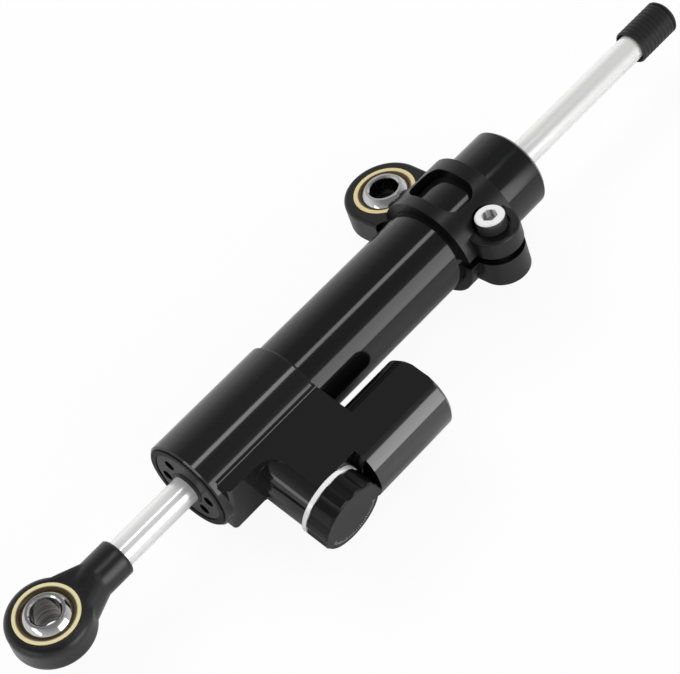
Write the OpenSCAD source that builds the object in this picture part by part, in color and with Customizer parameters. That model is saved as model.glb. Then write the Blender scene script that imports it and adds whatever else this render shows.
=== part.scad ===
// Motorcycle steering damper with an adjusting knob, a side reservoir and two spherical bearings.
// Millimetres. X runs along the rod from the rod end's eye to the rubber stop, the reservoir lies
// level beside the barrel, and the knob points to -Y. The origin is the centre of the rod end's ball.

/* [Rod] */
// Diameter of the through rod
rod_d = 8; // [7:0.1:9]
// Rod that shows between the rod end's neck and the barrel
near_exposed = 25; // [12:0.5:60]
// Rod that shows between the tube and the rubber stop
far_exposed = 53.2; // [20:0.1:90]
// Depth to which the rod is screwed into the neck
thread_depth = 10.5; // [8:0.5:11]

/* [Rod end] */
// Outside diameter of the rod end's eye
eye_d = 22.8; // [21:0.1:26]
// Thickness of the eye
eye_thick = 9; // [7.5:0.1:9.2]
// Rounding of the eye's edges
eye_round = 2.1; // [1.6:0.1:2.2]
// Diameter of the neck
neck_d = 10.8; // [10.4:0.1:13]
// Distance from the eye's centre to the end of the neck
neck_reach = 24; // [22:0.5:32]
// Turn of the rod end about the rod
rod_end_turn = -8; // [-30:1:30]

/* [Spherical bearings] */
// Bore of both balls
bearing_bore = 8; // [6:0.1:8.4]
// Diameter of the balls
ball_d = 15.9; // [15.4:0.1:16.2]
// Width of the balls over their flats
ball_w = 12; // [11:0.1:12.2]
// Outside diameter of the races
race_d = 17.7; // [17.4:0.1:18.4]
// Width of the races
race_w = 9.3; // [8.4:0.1:9.6]
// Width of the flat rim on each side of a race
race_rim = 1.3; // [1.2:0.1:1.8]

/* [Barrel and tube] */
// Outside diameter of the valve body's barrel
barrel_d = 27; // [26.6:0.1:32]
// Length of the barrel
barrel_len = 39.5; // [38:0.5:48]
// Outside diameter of the tube
tube_d = 25; // [24.7:0.1:25.8]
// Length of the tube past the barrel
tube_len = 90.8; // [85:0.1:130]
// Bore of the cylinder liner
liner_bore = 16; // [15:0.1:16.4]
// Wall of the cylinder liner
liner_wall = 1; // [0.8:0.05:1.1]
// Radial width of the return passage round the liner
passage = 1; // [0.8:0.05:1.1]

/* [Glands] */
// Outside diameter of the near gland
near_gland_d = 22; // [21.8:0.1:23]
// Outside diameter of the far gland
far_gland_d = 21.5; // [21.3:0.1:22.2]
// Length of each gland
gland_len = 16; // [15.5:0.1:17]
// Depth of the glands below the barrel's and the tube's end faces
gland_recess = 0.2; // [0.1:0.1:2]
// How far each wiper stands out of its gland
wiper_lip = 0.5; // [0.3:0.1:3]

/* [Piston] */
// Length of the piston
piston_len = 10; // [9:0.5:12]
// Distance from the near gland's inner face to the piston's middle
piston_at = 63; // [56:0.5:70]
// Width of the piston's band
band_w = 4; // [3:0.1:5]

/* [Arm] */
// Thickness of the arm, and of the reservoir over its flats
web_thick = 19.5; // [19:0.5:20.5]
// Radius where the arm runs into the barrel
arm_fillet = 2; // [2:0.5:4]
// Distance of the arm's near end from the barrel's near end
arm_setback = 2.5; // [1:0.5:6]
// Distance of the flat pad beside the boss from the barrel's axis
pad_reach = 13.6; // [13.5:0.1:15]

/* [Reservoir] */
// Outside diameter of the reservoir
reservoir_d = 22.2; // [21.6:0.1:23.6]
// Bore of the reservoir
reservoir_bore = 16.8; // [16:0.1:17]
// Distance between the reservoir's and the tube's axes
reservoir_offset = 27.2; // [26:0.1:29]
// How far the reservoir runs past the barrel
reservoir_reach = 20.5; // [19:0.5:40]

/* [Adjuster] */
// Distance from the barrel's near end to the knob's axis
adjuster_at = 20.8; // [20.4:0.1:21.6]
// Diameter of the boss under the knob
boss_d = 19; // [18.6:0.1:20]
// Distance of the boss's face from the tube's axis
boss_reach = 29.8; // [29.4:0.1:30.6]
// Diameter of the knob
knob_d = 20.4; // [19:0.1:22]
// Thickness of the knob
knob_thick = 6.6; // [6:0.1:9]
// Number of flutes round the knob
knob_flutes = 12; // [8:1:18]
// Thickness of the silver collar under the knob
collar_thick = 1.3; // [1.2:0.1:2]
// Gap between the knob and the reservoir's near end
knob_room = 0.5; // [0.4:0.1:1.2]
// Bore of the needle's seat
seat_bore = 3; // [2.4:0.1:3.2]

/* [Clamp] */
// Turn of the clamp about the tube
clamp_turn = -17; // [-90:1:90]
// Distance from the barrel's near end to the middle of the clamp's band
clamp_at = 105; // [102:0.5:112]
// Width of the clamp's band
clamp_w = 19.4; // [19:0.1:21]
// Wall of the clamp's band
clamp_wall = 2.7; // [2.4:0.1:4]
// Outside diameter of the clamp's eye
clamp_eye_d = 23.6; // [22.8:0.1:26]
// Rounding of the edges of the clamp's eye
clamp_eye_round = 1.1; // [0.4:0.1:1.5]
// Distance of the clamp's eye from the tube's axis
clamp_eye_offset = 22.4; // [22.4:0.1:26]
// Shift of the clamp's eye along the tube from the band's middle
clamp_eye_shift = -1.9; // [-3.5:0.1:-1]
// Distance of the pinch bolt from the tube's axis
bolt_offset = 16; // [16:0.1:18]
// Shift of the pinch bolt along the tube from the band's middle
bolt_shift = 0.8; // [-1:0.1:2]
// Diameter of the pinch bolt
bolt_d = 5; // [4:0.5:5]
// Diameter of the upper ear
upper_ear_d = 14.8; // [14.2:0.1:16]
// Diameter of the lower ear
lower_ear_d = 14.4; // [14:0.1:16]
// Top of the upper ear above the clamp's middle plane
ear_top = 6.8; // [6:0.1:9]
// Bottom of the lower ear below the clamp's middle plane
ear_bottom = 9.5; // [9:0.1:12]
// Rounding of the ears' outer edges
ear_round = 0.8; // [0.6:0.1:1.8]
// Width of the slit between the ears
slit = 2.5; // [1.5:0.1:3]
// Length of the window along the tube
window_len = 11.2; // [9:0.1:12]
// Width of the window across the tube
window_w = 17.4; // [14:0.1:18]

/* [Rubber stop] */
// Diameter of the rubber stop over its ribs
stop_d = 10.6; // [10.2:0.1:14]
// Length of the rubber stop
stop_len = 15; // [14:0.1:25]
// Number of ribs
stop_ribs = 9; // [4:1:10]

/* [Hidden] */
$fn = 96;

// Radial clearances
run_gap = 0.04;
seat_gap = 0.02;
thread_gap = 0.05;
pocket_gap = 0.1;
gland_gap = 0.3;
bolt_gap = 0.3;
// Overlap of a cut past the face that it opens
over = 1;

// Stations along the rod
barrel_x0 = neck_reach + near_exposed;
barrel_x1 = barrel_x0 + barrel_len;
tube_x1 = barrel_x1 + tube_len;
stop_x0 = tube_x1 + far_exposed;
stop_x1 = stop_x0 + stop_len;
rod_x0 = neck_reach - thread_depth;
stop_wall = 3.5;
rod_x1 = stop_x1 - stop_wall;
rod_chamfer = 0.6;

// Radii
rod_r = rod_d / 2;
barrel_r = barrel_d / 2;
tube_r = tube_d / 2;
liner_r = liner_bore / 2;
liner_out_r = liner_r + liner_wall;
tube_in_r = liner_out_r + passage;
ball_r = ball_d / 2;
race_r = race_d / 2;
eye_r = eye_d / 2;
neck_chamfer = 0.4;
neck_blend = 2;
neck_start = 1.1;
flank_x = 4;
flank_r = sqrt(pow(eye_r - eye_round, 2) - pow(flank_x, 2) + pow(eye_thick / 2, 2));

// Glands: depths from the outer face
near_face_x = barrel_x0 + gland_recess;
far_face_x = tube_x1 - gland_recess;
liner_recess = 2;
chamber_depth = gland_len - liner_recess;
liner_x0 = near_face_x + chamber_depth;
liner_x1 = far_face_x - chamber_depth;
seal_section = 1.4;
seal_pocket_r = rod_r + seal_section;
bush_wall = 1;
bush_r = rod_r + bush_wall;
wiper_pocket = 3.5;
wiper_section = 0.9;
wiper_pocket_r = rod_r + wiper_section;
wiper_edge = 0.4;
wiper_sink = 0.2;
wiper_relief = 1;
seal_from = 5;
seal_w = 3;
bush_len = 4.5;
gland_ring_r = 0.6;
gland_ring_at = 12;
pin_hole_d = 3.2;
pin_hole_depth = 4;
pin_wall = 0.5;
pin_circle_r = seal_pocket_r + pin_wall + pin_hole_d / 2;
pin_pair_half_angle = 28;
pin_pair_angles = [13, 199];

// Tube spigot that screws into the valve body
spigot_len = 12.4;
spigot_step = 1;
spigot_r = tube_r - spigot_step;
spigot_x0 = barrel_x1 - spigot_len;
tube_ring_r = 0.35;
tube_ring_at = 2;
port_d = 2.4;
port_inset = 5;
port_count = 4;

// Piston
piston_x = liner_x0 + piston_at;
piston_r = liner_r - pocket_gap;
band_depth = 1;
piston_ring_r = 0.6;
band_in_r = liner_r - run_gap - band_depth;
band_groove_r = groove_floor(band_in_r, piston_ring_r);
clip_thick = 1;
clip_depth = 0.6;
clip_rise = 1.3;

// Arm and reservoir
web_half = web_thick / 2;
arm_x0 = barrel_x0 + arm_setback;
pad_round = 1.2;
reservoir_r = reservoir_d / 2;
reservoir_bore_r = reservoir_bore / 2;
reservoir_x1 = barrel_x1 + reservoir_reach;
adjuster_x = barrel_x0 + adjuster_at;
boss_r = boss_d / 2;
boss_rise = 0.1;
arm_face = boss_reach - boss_rise;
arm_shoulder = 3.1;
arm_shoulder_x = adjuster_x - arm_shoulder;
arm_scoop = 5;
reservoir_end_x = adjuster_x + knob_d / 2 + knob_room;
reservoir_floor = 3;
reservoir_x0 = reservoir_end_x + reservoir_floor;
end_chamfer = 1;
rim_chamfer = 0.8;

// Inside the reservoir
floater_len = 5;
floater_play = 2.2;
floater_x0 = reservoir_x0 + floater_play;
reservoir_ring_r = 0.65;
cap_len = 3.5;
cap_ring_at = 1.6;
cap_pin_depth = 1.5;
clip_w = 1;
clip_inset = 0.8;
clip_groove = 0.7;
clip_band = 1.6;
reservoir_clip_x1 = reservoir_x1 - clip_inset;
cap_x1 = reservoir_clip_x1 - clip_w - pocket_gap;
cap_x0 = cap_x1 - cap_len;
spring_wire = 1.2;
spring_gap = 0.55;
spring_x0 = floater_x0 + floater_len + pocket_gap;
spring_len = cap_x0 - pocket_gap - spring_x0;
spring_turns = floor((spring_len - spring_wire) / (spring_wire + spring_gap));
spring_inset = 2.2;
spring_mid_r = reservoir_bore_r - spring_inset;
cap_pin_d = 2;
cap_pin_pcd = 9;

// Adjuster: distances from the tube's axis, outwards
spindle_r = 3;
needle_r = 2.5;
collar_r = 5.8;
clip_above = 0.3;
spindle_clip_thick = 0.8;
spindle_clip_hold = 0.7;
spindle_clip_gap = 0.4;
spindle_clip_mouth = 2;
shoulder_step = 1.4;
shoulder_r = spindle_r + shoulder_step;
shoulder_thick = 1.4;
knob_gap = 0.3;
collar_face = boss_reach + collar_thick;
knob_s0 = collar_face + knob_gap;
knob_s1 = knob_s0 + knob_thick;
clip_s1 = collar_face - clip_above;
clip_s0 = clip_s1 - spindle_clip_thick;
shoulder_s1 = clip_s0 - pocket_gap;
shoulder_s0 = shoulder_s1 - shoulder_thick;
spindle_land = 2;
spindle_s0 = shoulder_s0 - spindle_land;
blade_len = 2.5;
blade_thick = 1.2;
needle_room = 0.9;
needle_s1 = spindle_s0 - needle_room;
slot_depth = 2.6;
needle_len = 5.6;
tip_len = 2.2;
tip_r = 0.6;
cone_r = 2;
needle_s0 = needle_s1 - needle_len;
tip_entry = 0.8;
seat_s = needle_s0 - tip_len + tip_entry;
collar_len = 7.2;
collar_s0 = boss_reach - collar_len;
chamber_r = 3.2;
feed_d = 2.5;
feed_inset = 1.6;
feed_s = collar_s0 - feed_inset;
spindle_ring_r = 0.42;
spindle_ring_s = (spindle_s0 + shoulder_s0) / 2;
collar_ring_r = 0.45;
collar_ring_at = 1.4;
knob_roof = 1.7;
stem_end = knob_s1 - knob_roof;
detent_r = 1.2;
detent_gap = 0.15;
detent_hole_r = detent_r + detent_gap;
detent_circle_r = (collar_r + boss_r) / 2;
detent_sink = 0.2;
detent_s = collar_face - detent_sink;
detent_track = 0.1;
dimple_rise = 0.4;
detent_count = 20;
detent_depth = 4.6;
detent_wire = 0.36;
detent_coil_gap = 0.48;
detent_coil_r = 0.85;
detent_coil_len = detent_s - detent_r - (boss_reach - detent_depth) - 2 * detent_wire;
detent_turns = floor((detent_coil_len - detent_wire) / (detent_wire + detent_coil_gap));
flute_r = 4;
flute_depth = 0.45;
knob_chamfer = 0.5;
grub_d = 3;
grub_len = 5;
grub_above = 1;
grub_s = (knob_s0 + stem_end) / 2 + grub_above;

// Clamp
band_x = barrel_x0 + clamp_at;
band_x0 = band_x - clamp_w / 2;
band_r = tube_r + clamp_wall;
clamp_eye_r = clamp_eye_d / 2;
clamp_eye_x = band_x + clamp_eye_shift;
lug_x0 = clamp_eye_x - clamp_eye_r;
lug_scoop = band_x0 - lug_x0;
bolt_x = band_x + bolt_shift;
bolt_r = bolt_d / 2;
head_r = bolt_d * 0.85;
head_h = bolt_d;
head_chamfer = 0.4;
counterbore = 1.3;
counterbore_gap = 0.7;
seat_z = ear_top - counterbore;
socket_af = bolt_d * 0.8;
socket_depth = bolt_d / 2;
bolt_end_inset = 0.5;
window_shift_x = -0.4;
window_shift_y = -0.4;
window_round = 4;

// Rubber stop
rib_rise = 0.3;
stop_r = stop_d / 2;
tip_len_x = 1.2;
tip_chamfer = 0.6;
rib_pitch = (stop_len - tip_len_x) / stop_ribs;
mouth_depth = 1.2;
mouth_step = 0.7;
mouth_r = rod_r + mouth_step;

// Radius of the floor of an O-ring groove whose ring seals against a bore
function groove_floor(bore_r, section_r) = bore_r - 2 * section_r - 2 * seat_gap;

// Solid of revolution about the X axis from [radius, x] points
module turned_x(points) {
    rotate([0, 90, 0]) rotate_extrude() polygon(points);
}

// Plain tube along X
module tube_x(x0, x1, outer, inner) {
    turned_x([[inner, x0], [outer, x0], [outer, x1], [inner, x1]]);
}

// Plain bar along X
module bar_x(x0, x1, r) {
    translate([x0, 0, 0]) rotate([0, 90, 0]) cylinder(h = x1 - x0, r = r);
}

// O-ring about Z that seals against a bore
module o_ring(bore_r, section_r) {
    rotate_extrude() translate([bore_r - seat_gap - section_r, 0]) circle(section_r, $fn = 32);
}

// Cut about Z for an O-ring that seals against a bore
module o_ring_groove(bore_r, section_r) {
    half = section_r + pocket_gap;
    rotate_extrude()
        translate([groove_floor(bore_r, section_r), -half]) square([2 * section_r + over, 2 * half]);
}

// Places children about the X axis at x
module about_x(x) {
    translate([x, 0, 0]) rotate([0, 90, 0]) children();
}

// Places children on the knob's axis, with local Z pointing outwards along -Y
module on_adjuster() {
    translate([adjuster_x, 0, 0]) rotate([90, 0, 0]) children();
}

// Places children on the reservoir's axis
module on_reservoir() {
    translate([0, -reservoir_offset, 0]) children();
}

// Points of one ring of a coil's wire
function coil_ring(a, z, mid_r, wire_r) = [
    for (k = [0:5])
        let (t = 60 * k, r = mid_r + wire_r * cos(t)) [r * cos(a), r * sin(a), z + wire_r * sin(t)]
];

// Round-wire coil along Z, from 0 to its length, as one unbroken tube
module coil(mid_r, wire_d, length, turns) {
    steps = turns * 8;
    wire_r = wire_d / 2;
    rise = (length - wire_d) / steps;
    points = [for (i = [0:steps]) each coil_ring(45 * i, wire_r + rise * i, mid_r, wire_r)];
    sides = [
        for (i = [0:steps - 1], k = [0:5])
            let (a = 6 * i + k, b = 6 * i + (k + 1) % 6)
            each [[a, a + 6, b], [b, a + 6, b + 6]]
    ];
    ends = [
        for (k = [1:4])
            each [[0, k, k + 1], [6 * steps, 6 * steps + k + 1, 6 * steps + k]]
    ];
    echo(least_gap = min([
        for (i = [0:steps - 8], a = [0:5], b = [0:5]) norm(points[6 * i + a] - points[6 * (i + 8) + b])
    ]));
    polyhedron(points, concat(sides, ends));
}

// Half of the outline of a plate with rounded edges
module plate_profile(r, thick, round) {
    half = thick / 2;
    translate([0, -half]) square([r - round, thick]);
    translate([0, -half + round]) square([r, thick - 2 * round]);
    for (side = [-1, 1])
        translate([r - round, side * (half - round)]) circle(round, $fn = 32);
}

// Disc about Z with rounded edges
module rounded_disc(r, thick, round) {
    rotate_extrude() plate_profile(r, thick, round);
}

// Bar along -Y from the X axis, made from half of its outline
module mirrored_bar(length) {
    rotate([90, 0, 0]) linear_extrude(length) {
        children();
        mirror([1, 0]) children();
    }
}

// Brass race of a spherical bearing
module race() {
    mouth_r = race_r - race_rim;
    cone_h = 1;
    difference() {
        cylinder(h = race_w, r = race_r - seat_gap, center = true);
        sphere(ball_r + run_gap);
        for (side = [0, 1])
            mirror([0, 0, side])
                translate([0, 0, race_w / 2 - cone_h])
                    cylinder(h = cone_h, r1 = mouth_r - cone_h, r2 = mouth_r);
    }
}

// Steel ball of a spherical bearing
module bearing_ball() {
    chamfer = 0.5;
    difference() {
        intersection() {
            sphere(ball_r);
            cylinder(h = ball_w, r = ball_d, center = true);
        }
        cylinder(h = ball_w + 2 * over, d = bearing_bore, center = true);
        for (side = [0, 1])
            mirror([0, 0, side])
                translate([0, 0, ball_w / 2 - chamfer])
                    cylinder(h = chamfer, d1 = bearing_bore, d2 = bearing_bore + 2 * chamfer);
    }
}

// Gland, from its outer face at 0 inwards along X
module gland(outer_d, holes) {
    outer = outer_d / 2 - thread_gap;
    difference() {
        tube_x(0, gland_len, outer, rod_r + gland_gap);
        bar_x(-over, wiper_pocket, wiper_pocket_r);
        bar_x(seal_from, seal_from + seal_w, seal_pocket_r);
        bar_x(chamber_depth - bush_len, chamber_depth + over, bush_r);
        bar_x(chamber_depth, gland_len + over, liner_out_r + seat_gap);
        about_x(gland_ring_at) o_ring_groove(outer_d / 2, gland_ring_r);
        if (holes)
            for (middle = pin_pair_angles, half = [-pin_pair_half_angle, pin_pair_half_angle])
                rotate([middle + half, 0, 0])
                    translate([0, pin_circle_r, 0])
                        bar_x(-over, pin_hole_depth, pin_hole_d / 2);
    }
}

module wiper() {
    turned_x([
        [rod_r + run_gap, -wiper_lip],
        [rod_r + wiper_edge, -wiper_lip],
        [wiper_pocket_r - seat_gap, wiper_sink],
        [wiper_pocket_r - seat_gap, wiper_pocket - seat_gap],
        [rod_r + gland_gap, wiper_pocket - seat_gap],
        [rod_r + run_gap, wiper_relief]
    ]);
}

module rod_seal() {
    tube_x(seal_from + seat_gap, seal_from + seal_w - seat_gap, seal_pocket_r - seat_gap, rod_r + run_gap);
}

module guide_bush() {
    tube_x(chamber_depth - bush_len + seat_gap, chamber_depth, bush_r - seat_gap, rod_r + run_gap);
}

module gland_o_ring(outer_d) {
    about_x(gland_ring_at) o_ring(outer_d / 2, gland_ring_r);
}

module at_near() {
    translate([near_face_x, 0, 0]) children();
}

module at_far() {
    translate([far_face_x, 0, 0]) mirror([1, 0, 0]) children();
}

// Corner between the arm's upper flat and the barrel
module barrel_fillet() {
    up = web_half + arm_fillet;
    out = sqrt(pow(barrel_r + arm_fillet, 2) - pow(up, 2));
    share = barrel_r / (barrel_r + arm_fillet);
    difference() {
        polygon([[0, 0], [-out * share, up * share], [-out, up], [-out, 0]]);
        translate([-out, up]) circle(arm_fillet);
    }
}

// Cross-section of the arm, with Y to the right and Z up
module arm_section() {
    translate([-arm_face, -web_half]) square([arm_face, web_thick]);
    for (side = [0, 1])
        mirror([0, side]) barrel_fillet();
}

// Outline of the arm seen from above: a flat pad beside the barrel, then a scoop out to the full width
module arm_plan() {
    pad_len = arm_shoulder_x - arm_x0 + over;
    translate([arm_x0, pad_round - pad_reach]) square([pad_len, pad_reach - pad_round]);
    translate([arm_x0 + pad_round, -pad_reach]) square([pad_len - pad_round, pad_reach]);
    translate([arm_x0 + pad_round, pad_round - pad_reach]) circle(pad_round);
    translate([arm_shoulder_x, -arm_face]) square([barrel_x1 - arm_shoulder_x, arm_face]);
    translate([arm_shoulder_x - arm_scoop, -pad_reach - arm_scoop])
        difference() {
            square(arm_scoop + over);
            circle(arm_scoop);
        }
}

module arm() {
    intersection() {
        translate([arm_x0, 0, 0]) rotate([90, 0, 90]) linear_extrude(barrel_x1 - arm_x0) arm_section();
        translate([0, 0, -barrel_d]) linear_extrude(2 * barrel_d) arm_plan();
    }
}

// Reservoir, flush with the arm's flats above and below
module reservoir_outside() {
    on_reservoir() intersection() {
        turned_x([
            [0, reservoir_end_x],
            [reservoir_r, reservoir_end_x],
            [reservoir_r, reservoir_x1 - end_chamfer],
            [reservoir_r - end_chamfer, reservoir_x1],
            [0, reservoir_x1]
        ]);
        translate([reservoir_end_x - over, -reservoir_d, -web_half])
            cube([reservoir_x1 - reservoir_end_x + 2 * over, 2 * reservoir_d, web_thick]);
    }
}

module valve_body() color([0.05, 0.05, 0.055]) {
    difference() {
        union() {
            turned_x([
                [0, barrel_x0], [barrel_r - rim_chamfer, barrel_x0], [barrel_r, barrel_x0 + rim_chamfer],
                [barrel_r, barrel_x1 - rim_chamfer], [barrel_r - rim_chamfer, barrel_x1], [0, barrel_x1]
            ]);
            arm();
            reservoir_outside();
            on_adjuster() cylinder(h = boss_reach, r = boss_r);
        }
        bar_x(barrel_x0 - over, near_face_x + gland_len, near_gland_d / 2);
        bar_x(barrel_x0, barrel_x1, tube_in_r);
        bar_x(spigot_x0 - pocket_gap, barrel_x1 + over, spigot_r + thread_gap);
        on_reservoir() {
            bar_x(reservoir_x0, reservoir_x1 + over, reservoir_bore_r);
            bar_x(reservoir_clip_x1 - clip_w, reservoir_clip_x1, reservoir_bore_r + clip_groove);
        }
        on_adjuster() {
            cylinder(h = boss_reach, d = seat_bore);
            translate([0, 0, seat_s]) cylinder(h = boss_reach, r = chamber_r);
            translate([0, 0, collar_s0 - pocket_gap]) cylinder(h = boss_reach, r = collar_r + thread_gap);
            translate([detent_circle_r, 0, boss_reach - detent_depth])
                cylinder(h = boss_reach, r = detent_hole_r);
        }
        translate([0, -feed_s, 0]) bar_x(adjuster_x, reservoir_x0 + over, feed_d / 2);
    }
}

module outer_tube() color([0.05, 0.05, 0.055]) {
    difference() {
        turned_x([
            [tube_in_r, spigot_x0], [spigot_r, spigot_x0], [spigot_r, barrel_x1], [tube_r, barrel_x1],
            [tube_r, tube_x1 - end_chamfer], [tube_r - end_chamfer, tube_x1], [tube_in_r, tube_x1]
        ]);
        bar_x(far_face_x - gland_len, tube_x1 + over, far_gland_d / 2);
        about_x(spigot_x0 + tube_ring_at) o_ring_groove(spigot_r + thread_gap, tube_ring_r);
    }
}

module tube_o_ring() color([0.08, 0.08, 0.08]) {
    about_x(spigot_x0 + tube_ring_at) o_ring(spigot_r + thread_gap, tube_ring_r);
}

module inner_tube() color([0.75, 0.76, 0.78]) {
    difference() {
        tube_x(liner_x0, liner_x1, liner_out_r, liner_r);
        for (x = [liner_x0 + port_inset, liner_x1 - port_inset], k = [1:port_count])
            translate([x, 0, 0]) rotate([360 * k / port_count, 0, 0]) cylinder(h = tube_r, d = port_d);
    }
}

module near_gland() color([0.07, 0.07, 0.075]) at_near() gland(near_gland_d, true);
module near_wiper() color([0.1, 0.1, 0.1]) at_near() wiper();
module near_rod_seal() color([0.12, 0.3, 0.5]) at_near() rod_seal();
module near_bush() color([0.7, 0.5, 0.25]) at_near() guide_bush();
module near_gland_o_ring() color([0.08, 0.08, 0.08]) at_near() gland_o_ring(near_gland_d);
module far_gland() color([0.07, 0.07, 0.075]) at_far() gland(far_gland_d, true);
module far_wiper() color([0.1, 0.1, 0.1]) at_far() wiper();
module far_rod_seal() color([0.12, 0.3, 0.5]) at_far() rod_seal();
module far_bush() color([0.7, 0.5, 0.25]) at_far() guide_bush();
module far_gland_o_ring() color([0.08, 0.08, 0.08]) at_far() gland_o_ring(far_gland_d);

// Middle of each circlip beside the piston
function clip_x(side) = piston_x + side * (piston_len + clip_thick + 2 * seat_gap) / 2;

module piston_rod() color([0.86, 0.87, 0.88]) {
    difference() {
        turned_x([
            [0, rod_x0], [rod_r - rod_chamfer, rod_x0], [rod_r, rod_x0 + rod_chamfer],
            [rod_r, rod_x1 - rod_chamfer], [rod_r - rod_chamfer, rod_x1], [0, rod_x1]
        ]);
        for (side = [-1, 1])
            tube_x(clip_x(side) - clip_thick / 2, clip_x(side) + clip_thick / 2, rod_d, rod_r - clip_depth);
    }
}

module piston() color([0.7, 0.71, 0.73]) {
    difference() {
        tube_x(piston_x - piston_len / 2, piston_x + piston_len / 2, piston_r, rod_r + seat_gap);
        tube_x(piston_x - band_w / 2, piston_x + band_w / 2, liner_bore, band_groove_r);
    }
}

// Circlip in the rod's groove on one side of the piston
module piston_clip(side) {
    difference() {
        tube_x(clip_x(side) - clip_thick / 2 + seat_gap, clip_x(side) + clip_thick / 2 - seat_gap,
               rod_r + clip_rise, rod_r - clip_depth + seat_gap);
        translate([clip_x(side) - clip_thick, -rod_r / 2, 0]) cube([2 * clip_thick, rod_r, rod_d]);
    }
}

module piston_near_clip() color([0.3, 0.3, 0.32]) piston_clip(-1);
module piston_far_clip() color([0.3, 0.3, 0.32]) piston_clip(1);

module piston_band() color([0.9, 0.9, 0.86]) {
    tube_x(piston_x - band_w / 2 + run_gap, piston_x + band_w / 2 - run_gap, liner_r - run_gap, band_in_r);
}

module piston_o_ring() color([0.08, 0.08, 0.08]) about_x(piston_x) o_ring(band_in_r, piston_ring_r);

module rod_end_housing() color([0.06, 0.06, 0.065]) {
    blend_x = rod_x0 + neck_blend;
    rotate([rod_end_turn, 0, 0])
        difference() {
            union() {
                rounded_disc(eye_r, eye_thick, eye_round);
                intersection() {
                    translate([0, -eye_r, -eye_thick / 2]) cube([blend_x, eye_d, eye_thick]);
                    turned_x([[0, flank_x], [flank_r, flank_x], [neck_d / 2, blend_x], [0, blend_x]]);
                }
                turned_x([
                    [0, race_r],
                    [neck_d / 2 - neck_start, race_r],
                    [neck_d / 2, blend_x],
                    [neck_d / 2, neck_reach - neck_chamfer],
                    [neck_d / 2 - neck_chamfer, neck_reach],
                    [0, neck_reach]
                ]);
            }
            cylinder(h = eye_d, r = race_r, center = true);
            bar_x(rod_x0 - seat_gap, neck_reach + over, rod_r + seat_gap);
        }
}

module rod_end_race() color([0.86, 0.8, 0.58]) rotate([rod_end_turn, 0, 0]) race();
module rod_end_ball() color([0.8, 0.8, 0.82]) rotate([rod_end_turn, 0, 0]) bearing_ball();

module rod_stop() color([0.06, 0.06, 0.06]) {
    root_r = stop_r - rib_rise;
    difference() {
        union() {
            turned_x([
                [0, stop_x0],
                [root_r, stop_x0],
                [root_r, stop_x1 - tip_len_x],
                [stop_r, stop_x1 - tip_len_x],
                [stop_r, stop_x1 - tip_chamfer], [stop_r - tip_chamfer, stop_x1], [0, stop_x1]
            ]);
            for (i = [0:stop_ribs - 1])
                turned_x([
                    [0, stop_x0 + rib_pitch * i], [root_r, stop_x0 + rib_pitch * i],
                    [stop_r, stop_x0 + rib_pitch * (i + 0.25)], [stop_r, stop_x0 + rib_pitch * (i + 0.6)],
                    [root_r, stop_x0 + rib_pitch * (i + 0.85)], [0, stop_x0 + rib_pitch * (i + 0.85)]
                ]);
        }
        bar_x(stop_x0 - over, rod_x1 + seat_gap, rod_r + seat_gap);
        bar_x(stop_x0 - over, stop_x0 + mouth_depth, mouth_r);
    }
}

module floating_piston() color([0.7, 0.71, 0.73]) on_reservoir() {
    difference() {
        bar_x(floater_x0, floater_x0 + floater_len, reservoir_bore_r - run_gap);
        about_x(floater_x0 + floater_len / 2) o_ring_groove(reservoir_bore_r, reservoir_ring_r);
    }
}

module floating_piston_o_ring() color([0.08, 0.08, 0.08]) on_reservoir() {
    about_x(floater_x0 + floater_len / 2) o_ring(reservoir_bore_r, reservoir_ring_r);
}

module compensator_spring() color([0.5, 0.5, 0.52]) on_reservoir() {
    about_x(spring_x0) coil(spring_mid_r, spring_wire, spring_len, spring_turns);
}

module reservoir_cap() color([0.07, 0.07, 0.075]) on_reservoir() {
    difference() {
        bar_x(cap_x0, cap_x1, reservoir_bore_r - seat_gap);
        about_x(cap_x0 + cap_ring_at) o_ring_groove(reservoir_bore_r, reservoir_ring_r);
        for (side = [-1, 1])
            translate([0, side * cap_pin_pcd / 2, 0])
                bar_x(cap_x1 - cap_pin_depth, cap_x1 + over, cap_pin_d / 2);
    }
}

module reservoir_cap_o_ring() color([0.08, 0.08, 0.08]) on_reservoir() {
    about_x(cap_x0 + cap_ring_at) o_ring(reservoir_bore_r, reservoir_ring_r);
}

module reservoir_clip() color([0.3, 0.3, 0.32]) on_reservoir() {
    outer = reservoir_bore_r + clip_groove - pocket_gap;
    x1 = reservoir_clip_x1 - seat_gap;
    difference() {
        tube_x(x1 - clip_w + 2 * seat_gap, x1, outer, reservoir_bore_r - clip_band);
        translate([x1 - 2 * clip_w, -clip_band, -reservoir_bore])
            cube([4 * clip_w, 2 * clip_band, reservoir_bore]);
    }
}

module adjuster_collar() color([0.9, 0.9, 0.9]) on_adjuster() {
    difference() {
        union() {
            translate([0, 0, collar_s0]) cylinder(h = collar_len, r = collar_r);
            translate([0, 0, boss_reach]) cylinder(h = collar_thick, d = knob_d);
        }
        translate([0, 0, collar_s0 - over]) cylinder(h = knob_s1, r = needle_r + run_gap);
        translate([0, 0, spindle_s0 - pocket_gap]) cylinder(h = knob_s1, r = spindle_r + run_gap);
        translate([0, 0, shoulder_s0 - pocket_gap]) cylinder(h = knob_s1, r = shoulder_r + pocket_gap);
        translate([0, 0, clip_s0]) cylinder(h = spindle_clip_thick, r = shoulder_r + spindle_clip_hold);
        translate([detent_circle_r, 0, 0]) cylinder(h = knob_s1, r = detent_hole_r);
        translate([0, 0, collar_s0 + collar_ring_at]) o_ring_groove(collar_r + thread_gap, collar_ring_r);
    }
}

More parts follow.
